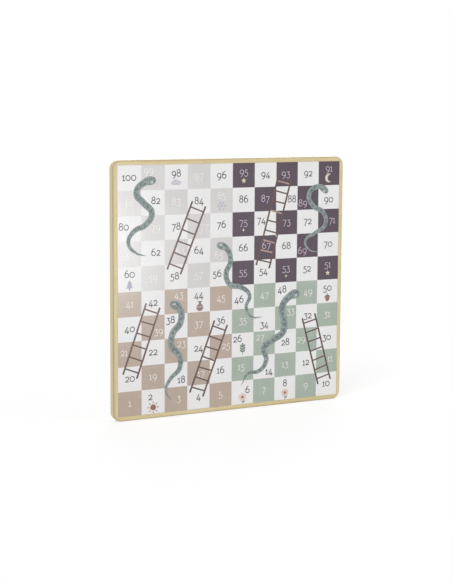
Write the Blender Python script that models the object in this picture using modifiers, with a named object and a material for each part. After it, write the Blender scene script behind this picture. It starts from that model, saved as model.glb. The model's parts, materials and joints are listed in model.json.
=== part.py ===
"""Double-faced wooden game board, standing upright on its lower edge.

Four mitred rails frame a core slab. A thin game panel is let into each face, flush with the rails, and a
loose spline is hidden across each mitre. X is the board's width, Y its thickness and Z its height. The
front face looks along -Y, and the origin is under the middle of the lower edge.
"""

from math import radians, sqrt

import bmesh
import bpy
from mathutils import Matrix

# Driving dimensions, in metres
BOARD_WIDTH = 0.300
BOARD_HEIGHT = 0.300
CORNER_RADIUS = 0.010  # outer corners of the frame, seen from the front
EDGE_RADIUS = 0.002  # rounded rims of the frame, front and back
BORDER_WIDTH = 0.0052  # bare wood that shows beside a panel
TONGUE_REACH = 0.012  # how far a rail's tongue runs in between the panels
CORE_THICKNESS = 0.0054  # core slab, and the tongues that surround it
PANEL_THICKNESS = 0.003
PANEL_EASE = 0.0002  # chamfer on a panel's own edges
SPLINE_LENGTH = 0.010  # along the mitre
SPLINE_WIDTH = 0.008  # across the mitre, half in each rail
SPLINE_THICKNESS = 0.002
GLUE_LINE = 0.0003  # gap between any two glued faces

# How finely the round edges are cut, and how far a cutter runs past what it cuts
CORNER_STEPS = 10
EDGE_STEPS = 4
CUT_OVERRUN = 0.005

# Sizes that follow from the ones above
REBATE_DEPTH = PANEL_THICKNESS + GLUE_LINE
BOARD_THICKNESS = CORE_THICKNESS + 2 * REBATE_DEPTH
RAIL_REACH = BORDER_WIDTH + TONGUE_REACH
OPENING_WIDTH = BOARD_WIDTH - 2 * RAIL_REACH
OPENING_HEIGHT = BOARD_HEIGHT - 2 * RAIL_REACH
REBATE_WIDTH = BOARD_WIDTH - 2 * BORDER_WIDTH
REBATE_HEIGHT = BOARD_HEIGHT - 2 * BORDER_WIDTH

# A spline lies midway along its mitre, from the rounded corner in to the opening
MITRE_START = CORNER_RADIUS * (sqrt(2) - 1)
MITRE_END = RAIL_REACH * sqrt(2)
SPLINE_INSET = (MITRE_START + MITRE_END) / 2

# Photographed colours as 8-bit sRGB, and how matt each surface is
RAIL_COLOUR = (212, 195, 152)
PANEL_COLOUR = (240, 238, 235)
CORE_COLOUR = (186, 158, 118)
SPLINE_COLOUR = (196, 164, 118)
RAIL_ROUGHNESS = 0.55
PANEL_ROUGHNESS = 0.42
INNER_ROUGHNESS = 0.80

FRONT, BACK = -1, 1


def clear_scene():
    for old in list(bpy.data.objects):
        bpy.data.objects.remove(old, do_unlink=True)


def new_collection(name):
    collection = bpy.data.collections.new(name)
    bpy.context.scene.collection.children.link(collection)
    return collection


def linear(channel):
    share = channel / 255
    return share / 12.92 if share <= 0.04045 else ((share + 0.055) / 1.055) ** 2.4


def finish(name, colour, roughness):
    material = bpy.data.materials.new(name + "_finish")
    material.use_nodes = True
    shader = material.node_tree.nodes["Principled BSDF"]
    shader.inputs["Base Color"].default_value = (*map(linear, colour), 1)
    shader.inputs["Roughness"].default_value = roughness
    shader.inputs["Metallic"].default_value = 0
    return material


def add_part(name, mesh, colour, roughness):
    part = bpy.data.objects.new(name, mesh)
    part.data.materials.append(finish(name, colour, roughness))
    part.parent = board_centre
    parts.objects.link(part)
    return part


def add_cutter(name, mesh):
    cutter = bpy.data.objects.new(name, mesh)
    cutter.hide_render = True
    cutter.display_type = "WIRE"
    cutter.parent = board_centre
    cutters.objects.link(cutter)
    return cutter


def cut(part, operation, cutter):
    modifier = part.modifiers.new(cutter.name, "BOOLEAN")
    modifier.operation = operation
    modifier.solver = "EXACT"
    modifier.object = cutter


def box(width, thickness, height):
    """A cube primitive taken to size, with its middle at the origin."""
    shape = bmesh.new()
    bmesh.ops.create_cube(shape, size=1)
    bmesh.ops.scale(shape, vec=(width, thickness, height), verts=shape.verts)
    return shape


def to_mesh(shape, name):
    mesh = bpy.data.meshes.new(name)
    shape.to_mesh(mesh)
    shape.free()
    return mesh


def runs_along_y(edge):
    start, end = edge.verts
    return abs(start.co.y - end.co.y) > BOARD_THICKNESS / 2


def is_on_face(edge):
    """True where an edge lies in the front or the back face."""
    start, end = edge.verts
    return abs(start.co.y - end.co.y) < BOARD_THICKNESS / 2


def frame_blank():
    """The whole frame's outer form: a slab with rounded corners and rounded rims."""
    shape = box(BOARD_WIDTH, BOARD_THICKNESS, BOARD_HEIGHT)
    corners = [edge for edge in shape.edges if runs_along_y(edge)]
    bmesh.ops.bevel(
        shape,
        geom=corners,
        offset=CORNER_RADIUS,
        segments=CORNER_STEPS,
        profile=0.5,
        affect="EDGES",
    )
    rims = [edge for edge in shape.edges if is_on_face(edge)]
    bmesh.ops.bevel(
        shape,
        geom=rims,
        offset=EDGE_RADIUS,
        segments=EDGE_STEPS,
        profile=0.5,
        affect="EDGES",
    )
    return to_mesh(shape, "frame_blank")


def mitre_wedge(name, rail_length, half_span):
    """A slab that holds one rail: it narrows inwards at 45 degrees from the rail's outer edge, on +Z."""
    outer = half_span + CUT_OVERRUN
    inner = half_span - RAIL_REACH - CUT_OVERRUN
    shape = box(1, BOARD_THICKNESS + 2 * CUT_OVERRUN, outer - inner)
    for corner in shape.verts:
        corner.co.z += (outer + inner) / 2
        mitre_x = rail_length / 2 - (half_span - corner.co.z) - GLUE_LINE / sqrt(2)
        corner.co.x = mitre_x if corner.co.x > 0 else -mitre_x
    return to_mesh(shape, name)


def add_rail(name, turn_deg, rail_length, half_span):
    """One rail: its wedge of the blank, less the panel rebates and the opening for the core."""
    rail = add_part(name, frame_blank(), RAIL_COLOUR, RAIL_ROUGHNESS)
    wedge_name = name + "_mitres"
    wedge = add_cutter(wedge_name, mitre_wedge(wedge_name, rail_length, half_span))
    wedge.rotation_euler.y = radians(turn_deg)
    cut(rail, "INTERSECT", wedge)
    for cutter in (core_opening, front_rebate, back_rebate):
        cut(rail, "DIFFERENCE", cutter)
    return rail


def spline_place(side_x, side_z):
    """Where the spline of one corner lies: its X axis runs along the mitre, out to the corner."""
    along = SPLINE_INSET / sqrt(2)
    place_x = side_x * (BOARD_WIDTH / 2 - along)
    place_z = side_z * (BOARD_HEIGHT / 2 - along)
    turn = Matrix.Rotation(radians(-45 * side_x * side_z), 4, "Y")
    return Matrix.Translation((place_x, 0, place_z)) @ turn


def add_spline(corner, side_x, side_z, rails):
    """A loose tongue across one mitre, and the blind slot for it in both rails."""
    name = "mitre_spline_" + corner
    body = to_mesh(box(SPLINE_LENGTH, SPLINE_THICKNESS, SPLINE_WIDTH), name)
    spline = add_part(name, body, SPLINE_COLOUR, INNER_ROUGHNESS)
    spline.matrix_local = spline_place(side_x, side_z)
    room = 2 * GLUE_LINE
    hollow = box(SPLINE_LENGTH + room, SPLINE_THICKNESS + room, SPLINE_WIDTH + room)
    slot = add_cutter(name + "_slot", to_mesh(hollow, name + "_slot"))
    slot.matrix_local = spline_place(side_x, side_z)
    for rail in rails:
        cut(rail, "DIFFERENCE", slot)


def add_panel(name, side):
    """A game panel in one face, flush with the rails."""
    width = REBATE_WIDTH - 2 * GLUE_LINE
    height = REBATE_HEIGHT - 2 * GLUE_LINE
    panel = add_part(
        name, to_mesh(box(width, PANEL_THICKNESS, height), name), PANEL_COLOUR, PANEL_ROUGHNESS
    )
    panel.location.y = side * (BOARD_THICKNESS - PANEL_THICKNESS) / 2
    ease = panel.modifiers.new("eased_edges", "BEVEL")
    ease.width = PANEL_EASE
    ease.segments = 1


def add_core():
    width = OPENING_WIDTH - 2 * GLUE_LINE
    height = OPENING_HEIGHT - 2 * GLUE_LINE
    body = to_mesh(box(width, CORE_THICKNESS, height), "core_slab")
    add_part("core_slab", body, CORE_COLOUR, INNER_ROUGHNESS)


def add_rebate(name, side):
    """The shallow square pocket that a game panel drops into."""
    depth = REBATE_DEPTH + CUT_OVERRUN
    rebate = add_cutter(name, to_mesh(box(REBATE_WIDTH, depth, REBATE_HEIGHT), name))
    rebate.location.y = side * (CORE_THICKNESS + depth) / 2
    return rebate


clear_scene()
parts = new_collection("wooden_game_board")
cutters = new_collection("board_cutters")

board_centre = bpy.data.objects.new("board_centre", None)
board_centre.location.z = BOARD_HEIGHT / 2
parts.objects.link(board_centre)

opening_box = box(OPENING_WIDTH, BOARD_THICKNESS, OPENING_HEIGHT)
core_opening = add_cutter("core_opening", to_mesh(opening_box, "core_opening"))
front_rebate = add_rebate("front_rebate", FRONT)
back_rebate = add_rebate("back_rebate", BACK)

top = add_rail("frame_rail_top", 0, BOARD_WIDTH, BOARD_HEIGHT / 2)
right = add_rail("frame_rail_right", 90, BOARD_HEIGHT, BOARD_WIDTH / 2)
bottom = add_rail("frame_rail_bottom", 180, BOARD_WIDTH, BOARD_HEIGHT / 2)
left = add_rail("frame_rail_left", -90, BOARD_HEIGHT, BOARD_WIDTH / 2)

add_spline("top_left", -1, 1, (top, left))
add_spline("top_right", 1, 1, (top, right))
add_spline("bottom_left", -1, -1, (bottom, left))
add_spline("bottom_right", 1, -1, (bottom, right))

add_core()
add_panel("front_game_panel", FRONT)
add_panel("back_game_panel", BACK)
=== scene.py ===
# %% [markdown]
# # A wooden board with two printed games
# The solid model of this board is already made: four mitred rails round a core, with a thin panel let
# into each face. This lesson dresses it. The solids stay where they are, and each cell adds one finish,
# one printed layer or one light, so that every step can be run and looked at by itself.

# %% Load the solid board
import json
import math
from collections import defaultdict

import bmesh
import bpy
from mathutils import Euler, Matrix, Vector

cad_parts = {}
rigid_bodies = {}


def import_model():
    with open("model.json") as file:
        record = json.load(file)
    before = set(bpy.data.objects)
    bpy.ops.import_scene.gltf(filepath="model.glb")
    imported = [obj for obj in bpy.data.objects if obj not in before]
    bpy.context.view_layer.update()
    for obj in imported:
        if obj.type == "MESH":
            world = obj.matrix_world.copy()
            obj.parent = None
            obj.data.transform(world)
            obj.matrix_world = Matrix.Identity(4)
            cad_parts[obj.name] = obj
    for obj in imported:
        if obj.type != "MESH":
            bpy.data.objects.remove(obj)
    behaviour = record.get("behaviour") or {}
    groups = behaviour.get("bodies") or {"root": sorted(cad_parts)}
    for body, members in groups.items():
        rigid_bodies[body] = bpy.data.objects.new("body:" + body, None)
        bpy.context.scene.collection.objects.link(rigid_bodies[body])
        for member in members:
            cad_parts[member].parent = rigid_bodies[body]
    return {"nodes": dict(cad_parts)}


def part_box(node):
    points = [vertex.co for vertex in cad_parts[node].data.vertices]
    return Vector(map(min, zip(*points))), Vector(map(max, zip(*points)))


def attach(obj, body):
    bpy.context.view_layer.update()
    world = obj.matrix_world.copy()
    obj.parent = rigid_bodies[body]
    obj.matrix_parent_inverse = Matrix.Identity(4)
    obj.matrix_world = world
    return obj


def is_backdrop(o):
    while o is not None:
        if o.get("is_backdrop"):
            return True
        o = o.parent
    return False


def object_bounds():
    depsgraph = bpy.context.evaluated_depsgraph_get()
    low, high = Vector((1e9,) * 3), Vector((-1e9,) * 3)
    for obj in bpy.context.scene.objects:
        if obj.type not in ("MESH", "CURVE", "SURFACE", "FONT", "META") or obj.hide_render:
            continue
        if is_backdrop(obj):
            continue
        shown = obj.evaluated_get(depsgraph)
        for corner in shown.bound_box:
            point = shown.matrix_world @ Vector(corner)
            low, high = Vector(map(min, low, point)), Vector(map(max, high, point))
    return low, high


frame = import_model()
cad_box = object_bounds()
nodes = frame["nodes"]
scene = bpy.context.scene
print("board, mm:", [round(1000 * side, 1) for side in cad_box[1] - cad_box[0]])

# %% [markdown]
# ## Two faces to print on
# Both games are flat, so it is easiest to draw them lying on a table: x to the right, y up the sheet and
# z as the height of the ink. One matrix for each face then stands the sheet up against the board. The
# front face looks along -Y. The back face is read from behind, so its sheet is also turned half round.

# %% Measure the panels and place the two sheets
front_low, front_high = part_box("front_game_panel")
back_low, back_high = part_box("back_game_panel")
FIELD = front_high.x - front_low.x

STAND_UP = Matrix.Rotation(math.radians(90), 4, "X")
TURN_ROUND = Matrix.Rotation(math.radians(180), 4, "Z")
FRONT = Matrix.Translation(front_low) @ STAND_UP
BACK = Matrix.Translation((back_high.x, back_high.y, back_low.z)) @ TURN_ROUND @ STAND_UP

SQUARES = 10
SQUARE = FIELD / SQUARES
print("printed field, mm:", round(1000 * FIELD, 1), "square, mm:", round(1000 * SQUARE, 2))

# %% [markdown]
# ## A short way to write nodes
# Finishes and printed patterns are both node trees, and a tree is mostly "make a node, set it, link it".
# One helper does that for shader nodes and geometry nodes alike: an input that is given a socket is
# linked, and any other input is simply set. Colours are written as they look, in 8-bit sRGB.

# %% Helpers for nodes and colours
def node(tree, kind, inputs=None, **settings):
    made = tree.nodes.new(kind)
    for name, value in settings.items():
        setattr(made, name, value)
    for name, value in (inputs or {}).items():
        if isinstance(value, bpy.types.NodeSocket):
            tree.links.new(value, made.inputs[name])
        else:
            made.inputs[name].default_value = value
    return made


def out(tree, kind, inputs=None, **settings):
    """The first output of a new node."""
    return node(tree, kind, inputs, **settings).outputs[0]


def calc(tree, operation, *values):
    return out(tree, "ShaderNodeMath", dict(enumerate(values)), operation=operation)


def colour(red, green, blue):
    def linear(channel):
        share = channel / 255
        return share / 12.92 if share <= 0.04045 else ((share + 0.055) / 1.055) ** 2.4

    return (linear(red), linear(green), linear(blue), 1)


print("a mid grey of 128 is", round(colour(128, 128, 128)[0], 3), "in linear light")

# %% [markdown]
# ## Noise that knows about direction
# Wood and brushed ink are never one flat tone. Noise on object coordinates gives that unevenness, and
# it stays fixed to the board. Stretching it makes grain: few bumps to a metre along the fibres and
# hundreds across them. A noise value mostly lies between 0.3 and 0.7, so it is spread out before use.

# %% Helpers for finishes
def new_finish(name):
    material = bpy.data.materials.new(name)
    material.use_nodes = True
    tree = material.node_tree
    return material, tree, tree.nodes["Principled BSDF"]


def noise(tree, bumps_per_metre, detail, seed):
    place = tree.nodes.new("ShaderNodeTexCoord").outputs["Object"]
    shifted = {"Vector": place, "Location": (seed, seed, seed), "Scale": bumps_per_metre}
    stretched = out(tree, "ShaderNodeMapping", shifted)
    inputs = {"Vector": stretched, "Scale": 1, "Detail": detail, "Roughness": 0.55}
    return out(tree, "ShaderNodeTexNoise", inputs)


def spread(tree, value, low, high, from_low=0.3, from_high=0.7):
    inputs = {"Value": value, "From Min": from_low, "From Max": from_high, "To Min": low, "To Max": high}
    return out(tree, "ShaderNodeMapRange", inputs)


def mix(tree, share, first, second):
    """Mixes two colours. A Mix node keeps its colours in sockets 6 and 7, after its other kinds."""
    return node(tree, "ShaderNodeMix", {0: share, 6: first, 7: second}, data_type="RGBA").outputs[2]


def wire(tree, shader, **sockets):
    """Links values to a shader's inputs, whose names are written with _ for a space."""
    for name, value in sockets.items():
        tree.links.new(value, shader.inputs[name.replace("_", " ")])


def dress(name, finish):
    nodes[name].data.materials.clear()
    nodes[name].data.materials.append(finish)


print("finish helpers ready")

# %% [markdown]
# ## Light wood for the rails
# The border is pale sanded wood under a thin satin lacquer. Three layers of grain are enough: wide bands
# of tone, fine fibres, and short dark pores. The rounded rims get painted shade, a darker tone mixed in
# whatever the light. A rim is where the surface turns from the face to the side, so the object-space
# normal finds it with no extra mesh.

# %% Rail wood
WOOD_PALE = colour(228, 215, 175)
WOOD_DEEP = colour(214, 196, 148)
WOOD_FIBRE = colour(198, 176, 124)
WOOD_PORE = colour(160, 132, 90)
# The rims' painted shade: a darker tone, and how much of it is mixed in
RIM_PAINTED_SHADE = colour(150, 128, 88)
RIM_SHADE_STRENGTH = 0.55


def rim_share(tree):
    """Where the rims' painted shade goes: 1 in the middle of a rounded rim, and 0 on the flat faces and
    sides.
    """
    normal = tree.nodes.new("ShaderNodeTexCoord").outputs["Normal"]
    depth = node(tree, "ShaderNodeSeparateXYZ", {0: normal}).outputs["Y"]
    flatness = calc(tree, "ABSOLUTE", depth)
    bend = calc(tree, "MULTIPLY", flatness, calc(tree, "SUBTRACT", 1, flatness))
    return calc(tree, "MULTIPLY", bend, 4)


def rail_finish(name, grain_axis, seed):
    def stretch(along, across):
        return [along if axis == grain_axis else across for axis in "XYZ"]

    material, tree, shader = new_finish(name)
    bands = noise(tree, stretch(along=4, across=90), detail=2, seed=seed)
    fibres = noise(tree, stretch(along=16, across=900), detail=4, seed=seed + 3)
    pores = noise(tree, stretch(along=70, across=1500), detail=1, seed=seed + 7)
    wood = mix(tree, spread(tree, bands, 0, 1), WOOD_PALE, WOOD_DEEP)
    wood = mix(tree, spread(tree, fibres, 0, 0.45), wood, WOOD_FIBRE)
    wood = mix(tree, spread(tree, pores, 0, 0.5, from_low=0.62, from_high=0.72), wood, WOOD_PORE)
    # Painted shade: the rims are mixed towards a darker tone, whatever the light
    wood = mix(tree, calc(tree, "MULTIPLY", rim_share(tree), RIM_SHADE_STRENGTH), wood, RIM_PAINTED_SHADE)
    bump = out(tree, "ShaderNodeBump", {"Height": fibres, "Strength": 0.3, "Distance": 0.00005})
    sheen = spread(tree, fibres, 0.34, 0.5)
    wire(tree, shader, Base_Color=wood, Roughness=sheen, Normal=bump)
    return material


level_wood = rail_finish("rail_wood_level", "X", seed=3)
upright_wood = rail_finish("rail_wood_upright", "Z", seed=21)
RAIL_WOODS = {"top": level_wood, "bottom": level_wood, "left": upright_wood, "right": upright_wood}
for side, wood in RAIL_WOODS.items():
    dress("frame_rail_" + side, wood)
print("rails dressed:", ", ".join(RAIL_WOODS))

# %% [markdown]
# ## What lies inside
# The core slab and the loose splines in the mitres are glued in and never seen, but the model can be
# taken apart. The core is fibre board, which has specks but no grain. A spline is a raw sawn strip, so
# it borrows the idea of the rails' fibres and leaves the lacquer out.

# %% Fibre board and raw strips
def inner_finish(name, pale, deep, bumps_per_metre):
    material, tree, shader = new_finish(name)
    specks = noise(tree, bumps_per_metre, detail=3, seed=31)
    tone = mix(tree, spread(tree, specks, 0, 1), pale, deep)
    bump = out(tree, "ShaderNodeBump", {"Height": specks, "Strength": 0.4, "Distance": 0.0001})
    wire(tree, shader, Base_Color=tone, Roughness=spread(tree, specks, 0.75, 0.9), Normal=bump)
    return material


fibre_board = inner_finish("fibre_board", colour(194, 167, 127), colour(172, 143, 103), (700, 700, 700))
raw_strip = inner_finish("raw_strip", colour(206, 176, 130), colour(180, 146, 98), (900, 900, 60))
dress("core_slab", fibre_board)
for name in nodes:
    if name.startswith("mitre_spline"):
        dress(name, raw_strip)
print("inner pieces dressed")

# %% [markdown]
# ## White ground and inks
# A panel is thin plywood, painted white and printed, so its upright grain still shows through the paint
# and through every ink as faint lines. One function makes the ground and all the inks: they read the
# same noise at the same place, so the grain runs on unbroken from one ink to the next. Each coat is also
# a little uneven in strength, as brushed or rolled colour is, and the inks of squares and ladders shine
# more than the ground. Figures are dark on white and pale on a light ink. On purple a pale ink would
# glare, so the figures there are mauve.

# %% Ground and inks
def print_finish(name, tone, unevenness=0.05, roughness=0.26, shine=0.5):
    material, tree, shader = new_finish(name)
    shader.inputs["Specular IOR Level"].default_value = shine
    grain = noise(tree, (330, 330, 9), detail=3, seed=11)
    coat = noise(tree, (30, 30, 30), detail=3, seed=5)
    lines = spread(tree, grain, 1 - unevenness / 2, 1 + unevenness / 2)
    patches = spread(tree, coat, 1 - unevenness / 2, 1 + unevenness / 2)
    strength = calc(tree, "MULTIPLY", lines, patches)
    tinted = out(tree, "ShaderNodeVectorMath", {0: tone[:3], "Scale": strength}, operation="SCALE")
    bump = out(tree, "ShaderNodeBump", {"Height": grain, "Strength": 0.2, "Distance": 0.00003})
    gloss = spread(tree, coat, roughness - 0.02, roughness + 0.02)
    wire(tree, shader, Base_Color=tinted, Roughness=gloss, Normal=bump)
    return material


INKS = {
    "white_ground": print_finish("white_ground", colour(236, 235, 235), unevenness=0.015),
    "grey": print_finish("grey_ink", colour(208, 206, 205), shine=0.9),
    "purple": print_finish("purple_ink", colour(66, 46, 62), unevenness=0.12, shine=0.9),
    "brown": print_finish("brown_ink", colour(180, 162, 147), shine=0.9),
    "green": print_finish("green_ink", colour(162, 175, 162), unevenness=0.07, shine=0.9),
    "dark": print_finish("dark_figure_ink", colour(48, 47, 50)),
    "pale": print_finish("pale_figure_ink", colour(236, 232, 230)),
    "mauve": print_finish("mauve_figure_ink", colour(202, 186, 203)),
    "ladder": print_finish("ladder_ink", colour(84, 54, 46), unevenness=0.2, shine=0.9),
    "pale_rung": print_finish("pale_rung_ink", colour(176, 148, 138), unevenness=0.2),
}
for name in ("front_game_panel", "back_game_panel"):
    dress(name, INKS["white_ground"])
print("inks mixed:", ", ".join(INKS))

# %% [markdown]
# ## From a flat drawing to a printed layer
# A printed edge has to stay crisp close up, and a pattern inside a material would blur when it is baked.
# So each ink is real geometry: a plate a few hundredths of a millimetre thick, sunk a little into the
# panel so that nothing floats. Most plates are drawn by Geometry Nodes. These helpers start a tree with
# named inputs, end it, and turn its result into a plain mesh that stands on one face of the board.

# %% Helpers to build a tree
def start_tree(name, sizes, **others):
    """Starts a tree with a drawing, the named sizes and any other kinds of input."""
    tree = bpy.data.node_groups.new(name, "GeometryNodeTree")
    inputs = {"Geometry": "Geometry", **dict.fromkeys(sizes.split(), "Float"), **others}
    for label, kind in inputs.items():
        tree.interface.new_socket(label, in_out="INPUT", socket_type="NodeSocket" + kind)
    tree.interface.new_socket("Geometry", in_out="OUTPUT", socket_type="NodeSocketGeometry")
    return tree, tree.nodes.new("NodeGroupInput").outputs


def xyz(tree, x=0, y=0, z=0):
    return out(tree, "ShaderNodeCombineXYZ", {0: x, 1: y, 2: z})


def moved(tree, geometry, place):
    return out(tree, "GeometryNodeTransform", {0: geometry, "Translation": place})


def set_on_points(tree, points, instance, more=None):
    inputs = {"Points": points, "Instance": instance, **(more or {})}
    return out(tree, "GeometryNodeInstanceOnPoints", inputs)


def inked(tree, geometry, finish):
    """Realizes whatever is still an instance, and gives it its ink."""
    whole = out(tree, "GeometryNodeRealizeInstances", {0: geometry})
    return out(tree, "GeometryNodeSetMaterial", {"Geometry": whole, "Material": finish})


def end_tree(tree, geometry):
    tree.links.new(geometry, tree.nodes.new("NodeGroupOutput").inputs[0])


print("tree helpers ready")

# %% From a tree to a printed piece
SUNK = -0.00002


def add_piece(name, mesh, place):
    mesh.transform(place)
    mesh.shade_flat()
    piece = bpy.data.objects.new(name, mesh)
    scene.collection.objects.link(piece)
    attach(piece, "root")
    print(name, "has", len(mesh.polygons), "faces")


def print_layer(name, face, drawing, tree, **inputs):
    """Runs a tree on a drawing's data, and leaves a plain mesh on the face."""
    carrier = bpy.data.objects.new(name + "_drawing", drawing)
    scene.collection.objects.link(carrier)
    modifier = carrier.modifiers.new("drawn", "NODES")
    modifier.node_group = tree
    for label, value in inputs.items():
        modifier[tree.interface.items_tree[label].identifier] = value
    view = bpy.context.evaluated_depsgraph_get()
    mesh = bpy.data.meshes.new_from_object(carrier.evaluated_get(view))
    bpy.data.objects.remove(carrier)
    add_piece(name, mesh, face)


print("plates are sunk by", -1000 * SUNK, "mm")

# %% [markdown]
# ## Coloured squares
# The front game is a chequer of ten by ten squares, and each quarter has its own ink. A chequer follows
# a rule: a square is coloured when its column and row add up to an even number. So the tree lays out a
# grid of points, keeps the points of one parity, and sets a thin plate on each. The plates are a hair
# smaller than the squares, so that neighbours never share an edge.

# %% A tree that prints a chequer
PLATE_GAP = 0.00004


def point_grid(tree, pitch, count):
    """A square grid of points about the origin."""
    span = calc(tree, "MULTIPLY", pitch, calc(tree, "SUBTRACT", count, 1))
    sizes = {"Size X": span, "Size Y": span, "Vertices X": count, "Vertices Y": count}
    return out(tree, "GeometryNodeMeshGrid", sizes)


def parity(tree, column, row):
    return calc(tree, "MODULO", calc(tree, "ADD", column, row), 2)


def same(tree, first, second):
    """1 where two whole numbers are equal, and 0 elsewhere."""
    return calc(tree, "COMPARE", first, second, 0.1)


def chequer_tree():
    others = {"Count": "Int", "Odd": "Int", "Middle": "Vector", "Ink": "Material"}
    tree, given = start_tree("chequer", "Pitch Thickness", **others)
    index = out(tree, "GeometryNodeInputIndex")
    column = calc(tree, "FLOOR", calc(tree, "DIVIDE", index, given["Count"]))
    row = calc(tree, "MODULO", index, given["Count"])
    keep = same(tree, parity(tree, column, row), given["Odd"])
    side = calc(tree, "SUBTRACT", given["Pitch"], PLATE_GAP)
    size = xyz(tree, side, side, given["Thickness"])
    plate = out(tree, "GeometryNodeMeshCube", {"Size": size})
    grid = point_grid(tree, given["Pitch"], given["Count"])
    plates = set_on_points(tree, grid, plate, {"Selection": keep})
    end_tree(tree, inked(tree, moved(tree, plates, given["Middle"]), given["Ink"]))
    return tree


chequer = chequer_tree()
print("chequer tree has", len(chequer.nodes), "nodes")

# %% Print the four quarters
QUARTER = SQUARES // 2
SQUARE_INK = 0.00005
QUARTERS = {"brown": (0, 0), "green": (1, 0), "grey": (0, 1), "purple": (1, 1)}

for ink, (half_x, half_y) in QUARTERS.items():
    middle = Vector((0.5 + half_x, 0.5 + half_y, 0)) * QUARTER * SQUARE
    middle.z = SUNK + SQUARE_INK / 2
    print_layer(
        ink + "_squares", FRONT, bpy.data.meshes.new(ink + "_squares"), chequer,
        Pitch=SQUARE, Count=QUARTER, Odd=(half_x + half_y) % 2,
        Middle=middle, Thickness=SQUARE_INK, Ink=INKS[ink],
    )

# %% [markdown]
# ## Ladders
# A ladder is two rails and a row of rungs along a straight line from one square to another, so all of
# them follow one rule. The drawing holds a single edge for each ladder, from foot to head. The tree
# pushes that line out to both sides for the rails, trims its ends, and sets a rung every few
# millimetres, each turned by a small random angle so that the row looks drawn by hand. A rung that falls
# on a dark square would hardly show, so the tree picks those rungs by their place and inks them pale.

# %% Helpers for lines and places
def join(tree, *parts):
    joined = tree.nodes.new("GeometryNodeJoinGeometry")
    for part in parts:
        tree.links.new(part, joined.inputs[0])
    return joined.outputs[0]


def section(tree, width, height):
    sizes = {"Width": width, "Height": height}
    return out(tree, "GeometryNodeCurvePrimitiveQuadrilateral", sizes)


def swept(tree, curve, outline, **more):
    inputs = {"Curve": curve, "Profile Curve": outline, "Fill Caps": True, **more}
    return out(tree, "GeometryNodeCurveToMesh", inputs)


def every(tree, curve, length):
    return out(tree, "GeometryNodeResampleCurve", {0: curve, "Length": length}, mode="LENGTH")


def axis_of(tree, letter):
    place = out(tree, "GeometryNodeInputPosition")
    return node(tree, "ShaderNodeSeparateXYZ", {0: place}).outputs[letter]


def facing(tree, direction):
    """The turn about Z that points an instance's X axis in a direction."""
    inputs = {"Vector": direction}
    return out(tree, "FunctionNodeAlignRotationToVector", inputs, axis="X", pivot_axis="Z")


print("line helpers ready")

# %% A tree that prints ladders
RUNG_SHARE = 0.8  # of the rails' thickness, so that rungs run under them
WOBBLE_SEED = 4


def on_dark_square(tree, given):
    """1 on the coloured squares of the upper right quarter, and 0 elsewhere."""
    column = calc(tree, "FLOOR", calc(tree, "DIVIDE", axis_of(tree, "X"), given["Square"]))
    row = calc(tree, "FLOOR", calc(tree, "DIVIDE", axis_of(tree, "Y"), given["Square"]))
    coloured = same(tree, parity(tree, column, row), 0)
    other_quarter = calc(tree, "LESS_THAN", calc(tree, "MINIMUM", column, row), given["Quarter"])
    return calc(tree, "MULTIPLY", coloured, calc(tree, "SUBTRACT", 1, other_quarter))


def ladder_rungs(tree, given, line, across):
    """A trim takes lengths in sockets 4 and 5, and a random number its limits in 2 and 3."""
    length = out(tree, "GeometryNodeSplineLength")
    last = calc(tree, "SUBTRACT", length, given["Overhang"])
    inner = out(tree, "GeometryNodeTrimCurve", {0: line, 4: given["Overhang"], 5: last}, mode="LENGTH")
    below_rails = calc(tree, "MULTIPLY", given["Thickness"], RUNG_SHARE)
    size = xyz(tree, given["Width"], given["Rung"], below_rails)
    rung = out(tree, "GeometryNodeMeshCube", {"Size": size})
    least = calc(tree, "MULTIPLY", given["Wobble"], -1)
    angles = {2: least, 3: given["Wobble"], "Seed": WOBBLE_SEED}
    angle = node(tree, "FunctionNodeRandomValue", angles, data_type="FLOAT").outputs[1]
    tilt = out(tree, "FunctionNodeEulerToRotation", {0: xyz(tree, z=angle)})
    turn = out(tree, "FunctionNodeRotateRotation", {0: facing(tree, across), 1: tilt})
    points = every(tree, inner, given["Spacing"])
    return set_on_points(tree, points, rung, {"Rotation": turn})


def ladder_tree():
    sizes = "Width Rail Rung Spacing Overhang Wobble Thickness Lift Square"
    tree, given = start_tree("ladders", sizes, Quarter="Int", Ink="Material", Pale_Ink="Material")
    flat_line = out(tree, "GeometryNodeMeshToCurve", {0: given["Geometry"]})
    line = moved(tree, flat_line, xyz(tree, z=given["Lift"]))
    tangent = out(tree, "GeometryNodeInputTangent")
    across = out(tree, "ShaderNodeVectorMath", {0: tangent, 1: (0, 0, 1)}, operation="CROSS_PRODUCT")
    rungs = inked(tree, ladder_rungs(tree, given, line, across), given["Ink"])
    pale = {"Geometry": rungs, "Selection": on_dark_square(tree, given), "Material": given["Pale_Ink"]}
    parts = [out(tree, "GeometryNodeSetMaterial", pale)]
    for side in (-0.5, 0.5):
        reach = {0: across, "Scale": calc(tree, "MULTIPLY", given["Width"], side)}
        beside = out(tree, "ShaderNodeVectorMath", reach, operation="SCALE")
        shifted = out(tree, "GeometryNodeSetPosition", {0: line, "Offset": beside})
        rail = swept(tree, shifted, section(tree, given["Rail"], given["Thickness"]))
        parts.append(inked(tree, rail, given["Ink"]))
    end_tree(tree, join(tree, *parts))
    return tree


ladder_printer = ladder_tree()
print("ladder tree has", len(ladder_printer.nodes), "nodes")

# %% Print the ladders
# The foot and the head of each ladder, in squares from the lower left corner
LADDERS = [
    ((3.4, 0.6), (4.5, 3.5)),
    ((9.4, 0.6), (8.6, 3.5)),
    ((0.5, 1.6), (1.5, 4.4)),
    ((2.4, 5.7), (3.5, 8.4)),
    ((6.4, 5.7), (7.4, 9.4)),
]
LADDER_WIDTH = 0.018
RUNG_SPACING = 0.012
LADDER_OVERHANG = 0.007

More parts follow.
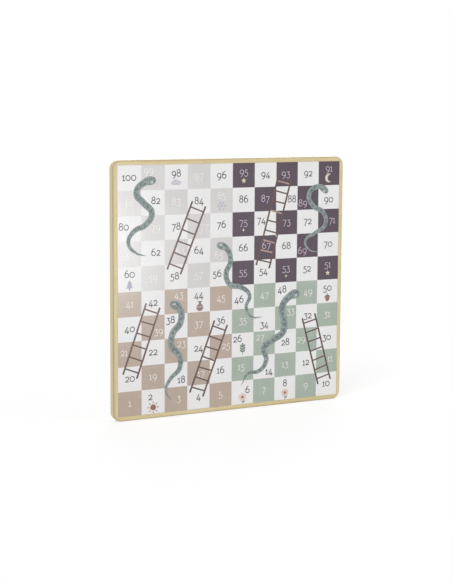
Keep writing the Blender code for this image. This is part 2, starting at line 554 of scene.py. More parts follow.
ladder_lines = bpy.data.meshes.new("ladder_lines")
ends = [(SQUARE * u, SQUARE * v, 0) for ladder in LADDERS for u, v in ladder]
ladder_lines.from_pydata(ends, [(i, i + 1) for i in range(0, len(ends), 2)], [])
print_layer(
    "ladders", FRONT, ladder_lines, ladder_printer,
    Width=LADDER_WIDTH, Rail=0.0022, Rung=0.0017, Spacing=RUNG_SPACING, Overhang=LADDER_OVERHANG,
    Wobble=math.radians(2.5), Thickness=0.00009, Lift=0.000025, Square=SQUARE, Quarter=QUARTER,
    Ink=INKS["ladder"], Pale_Ink=INKS["pale_rung"],
)

# %% [markdown]
# ## Snakes
# A printed snake is a ribbon that follows a winding path: a blunt head, a body that swells and a tail
# that runs out to a point. A few control points with automatic handles give the path, and their radius
# makes one snake larger than another. The tree sweeps a flat section along it, and two curve profiles
# set the width: one over the length of the head, one over the whole body. It also stores how far along
# and across the body each point lies, so that the skin's scales can follow every bend, and sets a row of
# diamonds down the back.

# %% A skin that follows the body
SKIN_DEEP = colour(80, 96, 97)
SKIN_PALE = colour(150, 162, 160)
SKIN_NET = colour(180, 190, 186)
SCALE_LENGTH = 0.005
SCALE_LEAN = 8


def skin_finish():
    material, tree, shader = new_finish("snake_skin")
    along = node(tree, "ShaderNodeAttribute", attribute_name="along").outputs["Fac"]
    across = node(tree, "ShaderNodeAttribute", attribute_name="across").outputs["Fac"]
    rows = calc(tree, "MULTIPLY", along, 2 * math.pi / SCALE_LENGTH)
    lean = calc(tree, "MULTIPLY", across, SCALE_LEAN)
    falling = calc(tree, "SINE", calc(tree, "ADD", rows, lean))
    rising = calc(tree, "SINE", calc(tree, "SUBTRACT", rows, lean))
    net = calc(tree, "MULTIPLY", falling, rising)
    patches = noise(tree, (260, 260, 260), detail=3, seed=8)
    skin = mix(tree, spread(tree, patches, 0, 1), SKIN_DEEP, SKIN_PALE)
    skin = mix(tree, spread(tree, net, 0, 0.6, from_low=0, from_high=0.7), skin, SKIN_NET)
    flank = calc(tree, "ABSOLUTE", across)
    skin = mix(tree, spread(tree, flank, 0, 0.5, from_low=0.36, from_high=0.5), skin, SKIN_DEEP)
    wire(tree, shader, Base_Color=skin, Roughness=spread(tree, patches, 0.4, 0.5))
    return material


snake_skin = skin_finish()
mark_ink = print_finish("snake_mark_ink", colour(104, 120, 120), unevenness=0.1)
print("one scale is", 1000 * SCALE_LENGTH, "mm long")

# %% Width profiles for a snake
def profile(tree, value, *points):
    """A curve over 0 to 1, through the given points."""
    curve = node(tree, "ShaderNodeFloatCurve", {"Value": calc(tree, "MINIMUM", value, 1)})
    shape = curve.mapping.curves[0].points
    shape[0].location = points[0]
    shape[1].location = points[-1]
    for point in points[1:-1]:
        shape.new(*point)
    curve.mapping.update()
    return curve.outputs[0]


def snake_width(tree, given):
    spot = tree.nodes.new("GeometryNodeSplineParameter").outputs
    from_snout = calc(tree, "DIVIDE", spot["Length"], given["Head"])
    head = profile(tree, from_snout, (0, 0.34), (0.1, 0.7), (0.4, 1), (0.75, 0.8), (1, 0.74))
    body = profile(tree, spot["Factor"], (0, 0.96), (0.35, 1), (0.7, 0.72), (1, 0.05))
    size = out(tree, "GeometryNodeInputRadius")
    widest = calc(tree, "MULTIPLY", given["Width"], size)
    return calc(tree, "MULTIPLY", calc(tree, "MULTIPLY", head, body), widest)


print("a snake's width is its head profile times its body profile")

# %% A tree that prints snakes
MARK_LENGTH = 0.34  # in shares of the body's width there
MARK_WIDTH = 0.2
MARK_RISE = 0.00002


def store(tree, geometry, name, value):
    inputs = {0: geometry, "Name": name, "Value": value}
    return out(tree, "GeometryNodeStoreNamedAttribute", inputs, data_type="FLOAT")


def snake_body(tree, given, path, width):
    """Sweeps an upright square along the path, then flattens it to the thickness of the ink."""
    steps = every(tree, path, given["Step"])
    length = tree.nodes.new("GeometryNodeSplineParameter").outputs["Length"]
    outline = store(tree, section(tree, 1, 1), "across", axis_of(tree, "X"))
    ribbon = swept(tree, store(tree, steps, "along", length), outline, Scale=width)
    top_or_bottom = calc(tree, "SIGN", calc(tree, "SUBTRACT", axis_of(tree, "Z"), given["Lift"]))
    half = calc(tree, "MULTIPLY", given["Thickness"], 0.5)
    height = calc(tree, "MULTIPLY_ADD", top_or_bottom, half, given["Lift"])
    place = xyz(tree, axis_of(tree, "X"), axis_of(tree, "Y"), height)
    return out(tree, "GeometryNodeSetPosition", {0: ribbon, "Position": place})


def snake_marks(tree, given, path, width):
    points = every(tree, path, given["Pitch"])
    share = tree.nodes.new("GeometryNodeSplineParameter").outputs["Factor"]
    clear_of_ends = calc(tree, "COMPARE", share, 0.5, 0.4)
    tangent = out(tree, "GeometryNodeInputTangent")
    length = calc(tree, "MULTIPLY", width, MARK_LENGTH)
    size = xyz(tree, length, calc(tree, "MULTIPLY", width, MARK_WIDTH), 1)
    depth = calc(tree, "ADD", given["Thickness"], MARK_RISE)
    diamond = out(tree, "GeometryNodeMeshCylinder", {"Vertices": 4, "Radius": 1, "Depth": depth})
    more = {"Selection": clear_of_ends, "Rotation": facing(tree, tangent), "Scale": size}
    return set_on_points(tree, points, diamond, more)


def snake_tree():
    sizes = "Width Head Step Pitch Thickness Lift"
    tree, given = start_tree("snakes", sizes, Skin="Material", Marks="Material")
    path = moved(tree, given["Geometry"], xyz(tree, z=given["Lift"]))
    width = snake_width(tree, given)
    body = inked(tree, snake_body(tree, given, path, width), given["Skin"])
    marks = inked(tree, snake_marks(tree, given, path, width), given["Marks"])
    end_tree(tree, join(tree, body, marks))
    return tree


snake_printer = snake_tree()
print("snake tree has", len(snake_printer.nodes), "nodes")

# %% Print the snakes
# Each path from the snout to the tip of the tail, in squares
SNAKES = [
    [(1.62, 9.4), (1.12, 9.3), (0.8, 8.9), (1.1, 8.5), (1.45, 8.1), (1.2, 7.65), (0.7, 7.4),
     (0.45, 6.95), (0.75, 6.55), (1.2, 6.4)],
    [(9.45, 8.7), (9.0, 8.95), (8.55, 8.65), (8.75, 8.15), (9.25, 7.85), (9.35, 7.35), (8.85, 7.0),
     (8.4, 6.7), (8.6, 6.3), (9.05, 6.2)],
    [(4.3, 6.72), (4.75, 6.52), (4.92, 6.0), (4.72, 5.5), (4.9, 5.05), (5.42, 4.9), (5.8, 4.55),
     (5.65, 4.05), (5.9, 3.65), (6.4, 3.6)],
    [(2.25, 4.45), (2.65, 4.2), (2.7, 3.65), (2.35, 3.2), (2.3, 2.7), (2.65, 2.25), (2.65, 1.75),
     (2.25, 1.35), (2.05, 0.9), (2.3, 0.45)],
    [(8.15, 4.5), (7.7, 4.4), (7.33, 3.95), (7.42, 3.4), (7.38, 2.9), (6.95, 2.62), (6.5, 2.3),
     (6.6, 1.75), (6.3, 1.35), (5.75, 1.25), (5.45, 0.8)],
]
SNAKE_SIZES = [1, 0.82, 0.88, 1.04, 1.14]
SNAKE_WIDTH = 0.0102

snake_paths = bpy.data.curves.new("snake_paths", "CURVE")
snake_paths.dimensions = "3D"
for path, size in zip(SNAKES, SNAKE_SIZES):
    spline = snake_paths.splines.new("BEZIER")
    spline.bezier_points.add(len(path) - 1)
    for knot, (u, v) in zip(spline.bezier_points, path):
        knot.co = (SQUARE * u, SQUARE * v, 0)
        knot.radius = size
        knot.handle_left_type = knot.handle_right_type = "AUTO"
print_layer(
    "snakes", FRONT, snake_paths, snake_printer,
    Width=SNAKE_WIDTH, Head=0.017, Step=0.0008, Pitch=0.0065,
    Thickness=0.00012, Lift=0.00003, Skin=snake_skin, Marks=mark_ink,
)

# %% [markdown]
# ## Snakes' eyes and small ornaments
# Small pictures in the free squares make the quarters of the board feel like places: snow and night sky
# above, sand and garden below. They are plain outlines, such as a star or a leaf, so each one is a short
# formula, drawn round its own middle in a unit of one and a half millimetres. A stamp turns an outline
# into a thin closed plate. Outlines of one ink share one mesh, and later plates lie a hair higher.

# %% Outlines
def ellipse(x, y, wide, high, start=0, end=360, steps=20):
    count = steps if end - start == 360 else steps + 1
    turns = [math.radians(start + (end - start) * i / steps) for i in range(count)]
    return [(x + wide * math.cos(turn), y + high * math.sin(turn)) for turn in turns]


def turned(points, degrees, x=0, y=0):
    """Turns an outline about the origin, then moves it."""
    cos, sin = math.cos(math.radians(degrees)), math.sin(math.radians(degrees))
    return [(x + cos * a - sin * b, y + sin * a + cos * b) for a, b in points]


def bar(length, width, degrees=0, x=0, y=0):
    half = width / 2
    return turned([(0, -half), (length, -half), (length, half), (0, half)], degrees, x, y)


def leaf(length, width, degrees, x=0, y=0):
    """A pointed leaf that grows from (x, y)."""
    shares = [i / 8 for i in range(9)]
    lower = [(length * s, -width / 2 * math.sin(math.pi * s)) for s in shares]
    upper = [(length * s, width / 2 * math.sin(math.pi * s)) for s in shares[-2:0:-1]]
    return turned(lower + upper, degrees, x, y)


def star(arms, outer, inner, x=0, y=0):
    corners = []
    for i in range(2 * arms):
        reach = inner if i % 2 else outer
        corners += turned([(reach, 0)], 90 + 180 * i / arms, x, y)
    return corners


print("a five-armed star has", len(star(5, 2, 1)), "corners")

# %% The stamp
def stamp(shape, outline, height, base=SUNK):
    """Adds one plate of ink to a bmesh. The outline runs anticlockwise, in metres on the sheet."""
    lower = [shape.verts.new((x, y, base)) for x, y in outline]
    upper = [shape.verts.new((x, y, height)) for x, y in outline]
    shape.faces.new(lower[::-1])
    shape.faces.new(upper)
    for i in range(len(outline)):
        shape.faces.new((lower[i - 1], lower[i], upper[i], upper[i - 1]))


def finished_mesh(name, shape, finish):
    mesh = bpy.data.meshes.new(name)
    shape.to_mesh(mesh)
    shape.free()
    mesh.materials.append(finish)
    return mesh


def print_stamps(prefix, face, stamps):
    """Makes one piece for each ink from a list of (ink, outline, height)."""
    shapes = defaultdict(bmesh.new)
    for ink, outline, height in stamps:
        stamp(shapes[ink], outline, height)
    for ink, shape in shapes.items():
        add_piece(prefix + ink, finished_mesh(prefix + ink, shape, INKS[ink]), face)


trial = bmesh.new()
stamp(trial, star(5, 2, 1), 1)
print("a stamped star has", len(trial.faces), "faces")
trial.free()

# %% [markdown]
# ## Choosing the pictures
# Each picture is a list of inks and outlines, back to front. The inks stay muted and close to the four
# quarters' colours, so that the numbers remain the strongest thing in their squares.

# %% Inks for the pictures
PICTURE_TONES = {
    "rust": (158, 108, 92),
    "taupe": (140, 121, 112),
    "stone": (178, 164, 153),
    "leaf": (112, 135, 120),
    "blush": (226, 203, 194),
    "mist": (205, 201, 209),
    "lilac": (172, 168, 188),
    "sand": (222, 208, 190),
}
for name, tone in PICTURE_TONES.items():
    INKS[name] = print_finish(name + "_ink", colour(*tone), unevenness=0.1)
print("inks mixed:", ", ".join(PICTURE_TONES))

# %% Pictures of sand and garden
def in_ink(ink, *outlines):
    return [(ink, outline) for outline in outlines]


def sun():
    rays = [bar(1.5, 0.7, 45 * i, *turned([(3.2, 0)], 45 * i)[0]) for i in range(8)]
    return in_ink("rust", *rays, ellipse(0, 0, 2.4, 2.4))


def jar():
    body, neck, rim = ellipse(0, -1, 3, 2.9), bar(2.6, 2, 90, 0, 1), bar(3.6, 0.8, 0, -1.8, 3.6)
    return in_ink("taupe", body, neck, rim) + in_ink("stone", bar(5.6, 1, 0, -2.8, -0.6))


def sprig():
    stem = bar(7, 0.5, 90, 0, -5)
    pairs = [leaf(3.4, 1.5, 90 + side * 48, 0, height) for height in (-3, -1, 1) for side in (-1, 1)]
    tip = leaf(3.4, 1.5, 90, 0, 1.6)
    return in_ink("leaf", stem, *pairs, tip)


def flower():
    petals = [ellipse(*turned([(2, 0)], 90 + 72 * i)[0], 1.5, 1.5) for i in range(5)]
    stem = in_ink("leaf", bar(4.5, 0.5, 90, 0, -5.5), leaf(2.6, 1.2, 25, 0, -4.4))
    return stem + in_ink("blush", *petals) + in_ink("rust", ellipse(0, 0, 1.1, 1.1))


def acorn():
    stalk, cup = bar(1.6, 0.6, 90, 0, 2), ellipse(0, 0, 2.6, 2.1, 0, 180)
    nut = ellipse(0, 0, 2.1, 3.4, 180, 360)
    return in_ink("taupe", stalk) + in_ink("rust", nut) + in_ink("taupe", cup)


print("the flower has", len(flower()), "outlines")

# %% Pictures of snow and night sky
def cloud():
    puffs = [ellipse(-2.6, 0, 1.7, 1.5), ellipse(-0.4, 0.9, 2.2, 2), ellipse(2.3, 0.2, 1.9, 1.6)]
    return in_ink("mist", *puffs, bar(6.4, 1.6, 0, -3.3, -0.8))


def snowflake():
    parts = [bar(8, 0.45, angle, *turned([(-4, 0)], angle)[0]) for angle in (0, 60, 120)]
    for angle in range(0, 360, 60):
        fork = turned([(2.4, 0)], angle)[0]
        parts += [bar(1.3, 0.4, angle + lean, *fork) for lean in (-50, 50)]
    return in_ink("lilac", *parts)


def pine():
    trunk = bar(1.6, 0.8, 90, 0, -4)
    widths_and_feet = ((3.2, -2.4), (2.6, -0.6), (1.9, 1))
    tiers = [[(-half, foot), (half, foot), (0, foot + 3)] for half, foot in widths_and_feet]
    return in_ink("taupe", trunk) + in_ink("lilac", *tiers)


def crescent():
    outer = ellipse(0, 0, 3.6, 3.6, 60, 300)
    inner = ellipse(1.9, 0, 3.1, 3.1, 268, 92)
    return in_ink("sand", outer + inner[1:-1])


def bright_star():
    return in_ink("sand", star(5, 2.4, 1))


def far_star():
    return in_ink("sand", star(4, 1.6, 0.5))


print("the snowflake has", len(snowflake()), "outlines")

# %% Place the pictures and the snakes' eyes
# What is drawn, and where its middle lies, in squares
PICTURES = [
    (sun, 1.5, 0.26),
    (jar, 3.55, 4.24),
    (sprig, 5.5, 2.34),
    (flower, 7.5, 0.3),
    (acorn, 9.5, 4.24),
    (cloud, 2.5, 9.26),
    (snowflake, 4.5, 8.28),
    (pine, 0.5, 5.27),
    (crescent, 9.5, 9.3),
    (bright_star, 5.5, 9.28),
    (far_star, 7.5, 5.26),
    (far_star, 5.5, 7.26),
    (bright_star, 9.5, 5.28),
    (flower, 5.5, 0.3),
]
PICTURE_UNIT = 0.0015
PICTURE_HEIGHT = 0.00004
PICTURE_STEP = 0.000003
EYE_FROM_SNOUT = 0.0052
EYE_ASIDE = 0.0015
# An eye's inks, with half their width and height, and how far they stand proud
EYE_INKS = [("pale", 0.0015, 0.0012, 0.000115), ("dark", 0.0006, 0.0006, 0.000125)]

ornaments = []
for draw, u, v in PICTURES:
    for layer, (ink, outline) in enumerate(draw()):
        placed = [(u * SQUARE + x * PICTURE_UNIT, v * SQUARE + y * PICTURE_UNIT) for x, y in outline]
        ornaments.append((ink, placed, PICTURE_HEIGHT + layer * PICTURE_STEP))
for path in SNAKES:
    snout, neck = (Vector(point) * SQUARE for point in path[:2])
    along = (neck - snout).normalized()
    eye = snout + along * EYE_FROM_SNOUT + Vector((-along.y, along.x)) * EYE_ASIDE
    for ink, wide, high, height in EYE_INKS:
        ornaments.append((ink, ellipse(*eye, wide, high), height))
print_stamps("ornaments_", FRONT, ornaments)

# %% [markdown]
# ## Numbers
# The path runs to and fro: 1 at the lower left, 10 at the lower right, 11 above it and so on up to 100.
# The figures are thin and round, of the old kind that sit on the line, rise above it or hang below it.
# A font would do, but ten figures drawn as a few arcs and lines need no file, and a flat pen of even
# width can then trace them. Every figure is drawn once and picked by an attribute at each place.

# %% Ten figures as pen strokes
ARC_STEP = 15
RING_POINTS = 360 // ARC_STEP  # only a full ring has so many, and it is closed
STROKE_STEP = 0.0004  # each later stroke lies this share of the height lower


def arc(x, y, wide, high, start, end):
    return ellipse(x, y, wide, high, start, end, max(4, round(abs(end - start) / ARC_STEP)))


# The width of each figure from 0 to 9, then its strokes, in shares of a figure's height
FIGURES = [
    (0.92, [arc(0.46, 0.5, 0.46, 0.5, 0, 360)]),
    (0.4, [[(0, 0.8), (0.2, 1)], [(0.2, 1), (0.2, 0)], [(0, 0), (0.4, 0)]]),
    (0.72, [arc(0.35, 0.68, 0.33, 0.32, 165, -35) + [(0.02, 0)], [(0.02, 0), (0.72, 0)]]),
    (0.68, [[(0.06, 1), (0.62, 1)], [(0.62, 1), (0.315, 0.55)], arc(0.28, 0.12, 0.4, 0.43, 85, -140)]),
    (0.8, [[(0.52, 1), (0, 0.02)], [(0, 0.02), (0.8, 0.02)], [(0.58, 0.42), (0.58, -0.32)]]),
    (0.68, [[(0.6, 1), (0.14, 1)], [(0.14, 1), (0.1, 0.5)], arc(0.27, 0.1, 0.4, 0.44, 115, -140)]),
    (0.84, [arc(0.42, 0.4, 0.4, 0.41, 0, 360), arc(0.72, 0.4, 0.7, 0.98, 100, 180)]),
    (0.74, [[(0, 1), (0.74, 1)], [(0.74, 1), (0.22, -0.34)]]),
    (0.78, [arc(0.39, 1.02, 0.3, 0.32, 0, 360), arc(0.39, 0.36, 0.38, 0.37, 0, 360)]),
    (0.84, [arc(0.42, 0.6, 0.4, 0.41, 0, 360), arc(0.12, 0.6, 0.7, 0.98, 280, 360)]),
]

figures = bpy.data.collections.new("figures")
for figure, (width, strokes) in enumerate(FIGURES):
    pen_path = bpy.data.curves.new(f"figure_{figure}", "CURVE")
    pen_path.dimensions = "3D"
    for layer, stroke in enumerate(strokes):
        spline = pen_path.splines.new("POLY")
        spline.points.add(len(stroke) - 1)
        for knot, (x, y) in zip(spline.points, stroke):
            knot.co = (x - width / 2, y - 0.5, -layer * STROKE_STEP, 1)
        spline.use_cyclic_u = len(stroke) == RING_POINTS
    figures.objects.link(bpy.data.objects.new(pen_path.name, pen_path))

# %% A tree that writes numbers
NIB_THINNER = 0.000004


def number_tree():
    sizes = "Height Pen Thickness Lift"
    tree, given = start_tree("numbers", sizes, Figures="Collection", Ink="Material")
    choice = {"Collection": given["Figures"], "Separate Children": True, "Reset Children": True}
    drawn = out(tree, "GeometryNodeCollectionInfo", choice)
    digit = out(tree, "GeometryNodeInputNamedAttribute", {"Name": "digit"}, data_type="INT")
    picked = {"Pick Instance": True, "Instance Index": digit, "Scale": given["Height"]}
    placed = set_on_points(tree, given["Geometry"], drawn, picked)
    strokes = out(tree, "GeometryNodeRealizeInstances", {0: placed})
    lines = swept(tree, strokes, section(tree, given["Pen"], given["Thickness"]))
    radius = calc(tree, "DIVIDE", given["Pen"], 2)
    depth = calc(tree, "SUBTRACT", given["Thickness"], NIB_THINNER)
    disc = {"Vertices": 10, "Radius": radius, "Depth": depth}
    nib = out(tree, "GeometryNodeMeshCylinder", disc)
    ends = out(tree, "GeometryNodeCurveEndpointSelection")
    tips = set_on_points(tree, strokes, nib, {"Selection": ends})
    whole = moved(tree, join(tree, lines, tips), xyz(tree, z=given["Lift"]))
    end_tree(tree, inked(tree, whole, given["Ink"]))
    return tree


number_printer = number_tree()
print("number tree has", len(number_printer.nodes), "nodes")

# %% [markdown]
# ## Room for each number
# A number sits in the middle of its square unless a ladder, a snake or a picture is in the way. Then it
# steps aside, as on the real print. So the places that are taken are listed as points, in squares. Each
# number then tries a small fan of places and takes the nearest one to the middle that has room.

# %% Places that are taken
LADDER_MARGIN = 0.03
PICTURE_MARGIN = 0.01


def along_line(start, end, gap=0.1):
    start, end = Vector(start), Vector(end)
    count = max(1, round((end - start).length / gap))
    return [start.lerp(end, i / count) for i in range(count + 1)]


def ladder_points(foot, head):
    foot, head = Vector(foot), Vector(head)
    line = (head - foot).normalized()
    side = Vector((line.y, -line.x)) * LADDER_WIDTH / SQUARE / 2
    points = along_line(foot + side, head + side) + along_line(foot - side, head - side)
    inset = LADDER_OVERHANG / SQUARE
    steps = along_line(foot + line * inset, head - line * inset, RUNG_SPACING / SQUARE)
    for step in steps:
        points += along_line(step - side, step + side)
    return points


taken = [(point, LADDER_MARGIN) for ladder in LADDERS for point in ladder_points(*ladder)]
taken += [(Vector(p) / SQUARE, PICTURE_MARGIN) for ink, outline, height in ornaments for p in outline]
for path, size in zip(SNAKES, SNAKE_SIZES):
    for start, end in zip(path, path[1:]):
        taken += [(point, size * SNAKE_WIDTH / SQUARE / 2) for point in along_line(start, end)]
print(len(taken), "points are taken")

# %% Choose a place for a number
FIGURE_HEIGHT = 0.0058
FIGURE_GAP = 0.26  # in figure heights
NUMBER_REACH = 0.15  # up and down from a number's middle, in squares, as are the next two
WANTED_ROOM = 0.03
STEPS_ASIDE = [0.06 * i for i in range(-4, 5)]
STEP_COST = 0.2  # room that a step of one square has to gain


def number_width(number):
    figures_wide = sum(FIGURES[int(letter)][0] for letter in str(number))
    return (figures_wide + FIGURE_GAP * (len(str(number)) - 1)) * FIGURE_HEIGHT


def room(u, v, half_width, near):
    """The gap from a number to the nearest taken point, below 0 where they overlap."""
    gaps = [1]
    for point, reach in near:
        aside = abs(point.x - u) - half_width
        above = abs(point.y - v) - NUMBER_REACH
        overlap = min(max(aside, above), 0)
        gaps.append(math.hypot(max(aside, 0), max(above, 0)) + overlap - reach)
    return min(gaps)


def best_place(column, row, number):
    half_width = number_width(number) / SQUARE / 2
    middle = Vector((column + 0.5, row + 0.5))
    near = [(point, reach) for point, reach in taken if (point - middle).length < 1]

    def worth(step):
        space = room(middle.x + step[0], middle.y + step[1], half_width, near)
        return min(space, WANTED_ROOM) - STEP_COST * math.hypot(*step)

    return max(((a, b) for a in STEPS_ASIDE for b in STEPS_ASIDE), key=worth)


print("number 100 is", round(1000 * number_width(100), 1), "mm wide")

# %% Write the numbers
PENS = {"dark": 0.00095, "pale": 0.0007, "mauve": 0.0007}


def figure_ink(column, row):
    if (row + column) % 2:
        return "dark"
    return "mauve" if min(row, column) >= QUARTER else "pale"


written = {ink: [] for ink in PENS}
for row in range(SQUARES):
    for column in range(SQUARES):
        number = SQUARES * row + (column + 1 if row % 2 == 0 else SQUARES - column)
        aside, above = best_place(column, row, number)
        x = (column + 0.5 + aside) * SQUARE - number_width(number) / 2
        y = (row + 0.5 + above) * SQUARE
        for letter in str(number):
            width = FIGURES[int(letter)][0] * FIGURE_HEIGHT
            written[figure_ink(column, row)].append((x + width / 2, y, int(letter)))
            x += width + FIGURE_GAP * FIGURE_HEIGHT
for ink, places in written.items():
    drawing = bpy.data.meshes.new(ink + "_numbers")
    drawing.from_pydata([(x, y, 0) for x, y, digit in places], [], [])
    digits = drawing.attributes.new("digit", "INT", "POINT")
    digits.data.foreach_set("value", [digit for x, y, digit in places])
    print_layer(
        ink + "_numbers", FRONT, drawing, number_printer,
        Height=FIGURE_HEIGHT, Pen=PENS[ink], Thickness=0.00009, Lift=0.00001,
        Figures=figures, Ink=INKS[ink],
    )
for drawn in list(figures.objects):
    bpy.data.objects.remove(drawn)

# %% [markdown]
# ## The game on the back
# The other face carries ludo: a cross of small cells on a field of fifteen by fifteen, a yard for each
# player in the corners, and a way home up the middle of each arm. It is the same quarter four times, so
# one quarter is described, at the lower left, and turned about the middle for the other players.

# %% One quarter of the ludo field, turned four times
CELLS = 15
CELL = FIELD / CELLS
PLAYERS = ["brown", "grey", "purple", "green"]
DISC_PLACES = [(2, 2), (4, 2), (4, 4), (2, 4)]
LUDO_HEIGHT = 0.00003
LUDO_STEP = 0.000012


def spun(points, quarter_turns, side):
    """Turns an outline about the middle of a square sheet."""
    centred = [(x - side / 2, y - side / 2) for x, y in points]
    return turned(centred, 90 * quarter_turns, side / 2, side / 2)


def plate(x, y, wide, high, rounding):
    """A rectangle with round corners, from its lower left corner, in cells."""
    outline = []
    corners = [(x + wide, y, 270), (x + wide, y + high, 0), (x, y + high, 90), (x, y, 180)]
    for corner_x, corner_y, start in corners:
        centre_x = corner_x - rounding if corner_x > x else corner_x + rounding
        centre_y = corner_y - rounding if corner_y > y else corner_y + rounding
        outline += ellipse(centre_x, centre_y, rounding, rounding, start, start + 90, steps=6)
    return outline


def quarter(ink):
    """What one player owns: (ink, outline, layer), with the outlines in cells."""
    parts = [(ink, plate(0.3, 0.3, 5.4, 5.4, 0.5), 0), ("white_ground", plate(1, 1, 4, 4, 0.5), 1)]
    parts += [(ink, ellipse(x, y, 0.6, 0.6, steps=32), 2) for x, y in DISC_PLACES]
    parts += [(ink, plate(7.1, row + 0.1, 0.8, 0.8, 0.1), 0) for row in range(1, 6)]
    parts.append((ink, plate(6.1, 1.1, 0.8, 0.8, 0.1), 0))
    parts.append((ink, [(6.16, 6.04), (8.84, 6.04), (7.5, 7.38)], 0))
    parts.append(("taupe", star(5, 0.3, 0.13, 8.5, 2.5), 0))
    return parts


ludo_plates = []
for turn, ink in enumerate(PLAYERS):
    for tone, outline, layer in quarter(ink):
        placed = [(x * CELL, y * CELL) for x, y in spun(outline, -turn, CELLS)]
        ludo_plates.append((tone, placed, LUDO_HEIGHT + layer * LUDO_STEP))
print_stamps("ludo_", BACK, ludo_plates)

# %% [markdown]
# ## The track round the cross
# Each cell of the track has a thin outline with soft corners. The cells are the points of a grid that
# lie in exactly one of the two arms: a point in both is the middle, and a point in neither is a yard.
# The tree makes that choice, and sweeps a fine line round a rounded square on every point it keeps.

# %% A tree that prints the track
def track_tree():
    sizes = "Cell Arm Box Rounding Line Thickness Lift"
    tree, given = start_tree("track", sizes, Count="Int", Ink="Material")
    upright = calc(tree, "COMPARE", axis_of(tree, "X"), 0, given["Arm"])
    level = calc(tree, "COMPARE", axis_of(tree, "Y"), 0, given["Arm"])
    in_one_arm = same(tree, calc(tree, "ADD", upright, level), 1)
    box = section(tree, given["Box"], given["Box"])
    rounding = {0: box, "Radius": given["Rounding"], "Count": 4}
    soft = out(tree, "GeometryNodeFilletCurve", rounding, mode="POLY")
    ring = swept(tree, soft, section(tree, given["Line"], given["Thickness"]))
    grid = point_grid(tree, given["Cell"], given["Count"])
    rings = set_on_points(tree, grid, ring, {"Selection": in_one_arm})
    half = calc(tree, "MULTIPLY", calc(tree, "MULTIPLY", given["Cell"], given["Count"]), 0.5)
    placed = moved(tree, rings, xyz(tree, half, half, given["Lift"]))
    end_tree(tree, inked(tree, placed, given["Ink"]))
    return tree


print_layer(
    "ludo_track", BACK, bpy.data.meshes.new("ludo_track"), track_tree(),
    Count=CELLS, Cell=CELL, Arm=1.5 * CELL, Box=0.9 * CELL, Rounding=0.12 * CELL,
    Line=0.0006, Thickness=0.00008, Lift=0.00001, Ink=INKS["ladder"],
)

# %% [markdown]
# ## Glue in the joints
# The solids leave a narrow gap for every glue line, and such a gap looks black when it is empty. On a
# real board glue fills it and dries to about the tone of the wood. So a thin frame of glue goes round
# each panel, and a thin plate into each mitre, whose outline follows the frame's rounded rims.

# %% Fill the joints
GLUE_LINE = 0.0003
GLUE_DEPTH = 0.0012
GLUE_SUNK = 0.00003
CORNER_RADIUS = 0.010
RIM_RADIUS = 0.002
glue = print_finish("dry_glue", colour(204, 183, 140), unevenness=0.1, roughness=0.5)


def glue_frame(name, face):
    near, far = -GLUE_LINE, FIELD - GLUE_SUNK
    strip = [(near, near), (far, near), (far, 0), (near, 0)]
    shape = bmesh.new()
    for turn in range(4):
        stamp(shape, spun(strip, turn, FIELD), -GLUE_SUNK, -GLUE_DEPTH)
    add_piece(name, finished_mesh(name, shape, glue), face)


def mitre_outline():
    """The cut through the frame along a mitre: x from the outer corner in, y through the board."""
    outer = CORNER_RADIUS * (math.sqrt(2) - 1) + GLUE_SUNK
    inner = (front_low.x - GLUE_LINE - cad_box[0].x) * math.sqrt(2)
    half = (cad_box[1].y - cad_box[0].y) / 2 - GLUE_SUNK
    back_rim = ellipse(outer + RIM_RADIUS, half - RIM_RADIUS, RIM_RADIUS, RIM_RADIUS, 90, 180, steps=4)
    front_rim = ellipse(outer + RIM_RADIUS, RIM_RADIUS - half, RIM_RADIUS, RIM_RADIUS, 180, 270, steps=4)
    return [(inner, half)] + back_rim + front_rim + [(inner, -half)]


def glue_mitre(name, corner):
    inward = Vector((-corner.x, 0, (cad_box[0].z + cad_box[1].z) / 2 - corner.z)).normalized()
    through = Vector((0, 1, 0))
    turn = Matrix((inward, through, inward.cross(through))).transposed()
    half_gap = (GLUE_LINE - GLUE_SUNK) / 2
    shape = bmesh.new()
    stamp(shape, mitre_outline(), half_gap, -half_gap)
    place = Matrix.Translation(corner) @ turn.to_4x4()
    add_piece(name, finished_mesh(name, shape, glue), place)


glue_frame("front_glue", FRONT)
glue_frame("back_glue", BACK)
for level, z in {"bottom": cad_box[0].z, "top": cad_box[1].z}.items():
    for side, x in {"left": cad_box[0].x, "right": cad_box[1].x}.items():
        glue_mitre(f"mitre_glue_{level}_{side}", Vector((x, 0, z)))

# %% [markdown]
# ## Floor
# The board stands on a flat white floor with a soft shadow. A plain white floor under studio light comes
# out grey, so the camera sees a darker floor with a white glow added, and the shadow still shows in it.
# The glow grows with distance until it is pure white, and the floor then runs into the white surroundings
# without a horizon. Light that the floor throws on the board still comes from a plain white floor.

# %% White floor
FLOOR_HALF = 20
FLOOR_DROP = 0.0003
FLOOR_WHITE = 0.92
SEEN_WHITE = 0.55
SEEN_GLOW = 0.545
SHADOW_REACH = (0.15, 0.6)


def seen_share(tree):
    """1 for what the camera sees, directly or in a reflection, and 0 for light on the board."""
    path = tree.nodes.new("ShaderNodeLightPath").outputs
    seen = calc(tree, "MAXIMUM", path["Is Camera Ray"], path["Is Glossy Ray"])
    return calc(tree, "MAXIMUM", seen, path["Is Transmission Ray"])


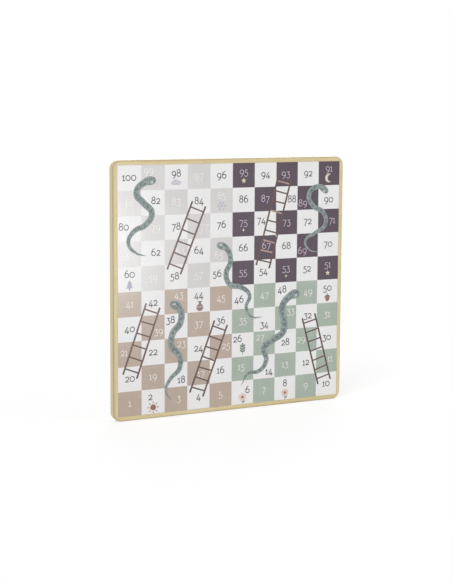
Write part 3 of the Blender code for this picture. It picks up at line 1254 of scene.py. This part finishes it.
def floor_finish():
    material, tree, shader = new_finish("white_floor")
    shader.inputs["Roughness"].default_value = 0.9
    shader.inputs["Specular IOR Level"].default_value = 0
    shader.inputs["Emission Color"].default_value = (1, 1, 1, 1)
    place = tree.nodes.new("ShaderNodeTexCoord").outputs["Object"]
    distance = node(tree, "ShaderNodeVectorMath", {0: place}, operation="LENGTH").outputs["Value"]
    seen = seen_share(tree)
    glow = spread(tree, distance, SEEN_GLOW, 1, *SHADOW_REACH)
    seen_white = spread(tree, distance, SEEN_WHITE, 0, *SHADOW_REACH)
    darker = calc(tree, "SUBTRACT", seen_white, FLOOR_WHITE)
    white = calc(tree, "MULTIPLY_ADD", seen, darker, FLOOR_WHITE)
    wire(tree, shader, Base_Color=white, Emission_Strength=calc(tree, "MULTIPLY", seen, glow))
    return material


sheet = bmesh.new()
bmesh.ops.create_grid(sheet, x_segments=1, y_segments=1, size=FLOOR_HALF)
floor_mesh = finished_mesh("floor", sheet, floor_finish())
floor_mesh.transform(Matrix.Translation((0, 0, -FLOOR_DROP)))
floor = bpy.data.objects.new("floor", floor_mesh)
scene.collection.objects.link(floor)
floor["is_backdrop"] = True
print("floor is", 2 * FLOOR_HALF, "m wide")

# %% [markdown]
# ## Light
# The photo's light is soft and nearly even. A white world gives the even part. A large lamp at the upper
# left, in front, and a weaker one at the right give the soft shadows that fall behind to both sides. A
# small weak lamp stands low in front, where the glossy print mirrors it to the camera: it lays the pale
# veil over the upper left of the board. The last one stands low behind and lights the other game, with
# hardly any shadow on the floor. All are at a plain level, so that inks render about as they are
# written. The camera sees the world as pure white, whatever its strength as a light.

# %% White world and four lamps
WORLD_LIGHT = 0.43
# The place of each lamp, its two sides and its power
LAMPS = {
    "left_lamp": ((-1.25, -0.95, 1.5), (1.0, 1.0), 15.5),
    "right_lamp": ((1.3, -0.75, 1.3), (1.0, 1.0), 4.5),
    "low_lamp": ((0.13, -0.9, 0.1), (0.14, 0.18), 1.2),
    "back_lamp": ((0.6, 1.1, 0.5), (1.2, 0.8), 7.5),
}

scene.view_settings.view_transform = "Standard"
world = bpy.data.worlds.new("white_studio")
world.use_nodes = True
surroundings = world.node_tree.nodes["Background"]
surroundings.inputs["Color"].default_value = (1, 1, 1, 1)
strength = spread(world.node_tree, seen_share(world.node_tree), WORLD_LIGHT, 1, from_low=0, from_high=1)
world.node_tree.links.new(strength, surroundings.inputs["Strength"])
scene.world = world

board_middle = (cad_box[0] + cad_box[1]) / 2
for name, (place, sides, power) in LAMPS.items():
    lamp = bpy.data.objects.new(name, bpy.data.lights.new(name, "AREA"))
    lamp.data.shape = "RECTANGLE"
    lamp.data.size, lamp.data.size_y = sides
    lamp.data.energy = power
    lamp.location = place
    to_board = board_middle - lamp.location
    lamp.rotation_euler = to_board.to_track_quat("-Z", "Y").to_euler()
    scene.collection.objects.link(lamp)
    print(name, "is", round(to_board.length, 2), "m from the board")

# %% [markdown]
# ## Camera
# The photo was taken from the front left and a little above, with a long lens. The place and the turn
# below were worked out from the printed grid, whose squares are known: ten equal steps each way are
# enough to solve a camera. A small shift keeps the upright edges nearly parallel, as they are there.

# %% Camera at the photo's angle
VIEWPOINT = Vector((-0.6822, -1.3966, 0.3743))
PITCH, ROLL, YAW = -6.705, 0.313, 25.818
LENS = 81.59
SHIFT = -0.0719

camera = bpy.data.objects.new("camera", bpy.data.cameras.new("camera"))
camera.location = VIEWPOINT
camera.rotation_euler = Euler([math.radians(angle) for angle in (90 + PITCH, -ROLL, -YAW)])
camera.data.lens = LENS
camera.data.shift_y = SHIFT
scene.collection.objects.link(camera)
scene.camera = camera
print("camera to board, m:", round((board_middle - VIEWPOINT).length, 2))

# %% [markdown]
# ## Sizes
# Ink has almost no thickness, so the dressed board should fill the same box as the bare solids to within
# two tenths of a millimetre. Both boxes are kept and their difference is printed, so that this can be
# checked after every change.

# %% Keep both boxes and print the difference
boxes = {"cad": cad_box, "visual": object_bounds()}
visual_low, visual_high = boxes["visual"]
growth = (visual_high - visual_low) - (cad_box[1] - cad_box[0])
print("the print adds, mm:", [round(1000 * side, 3) for side in growth])
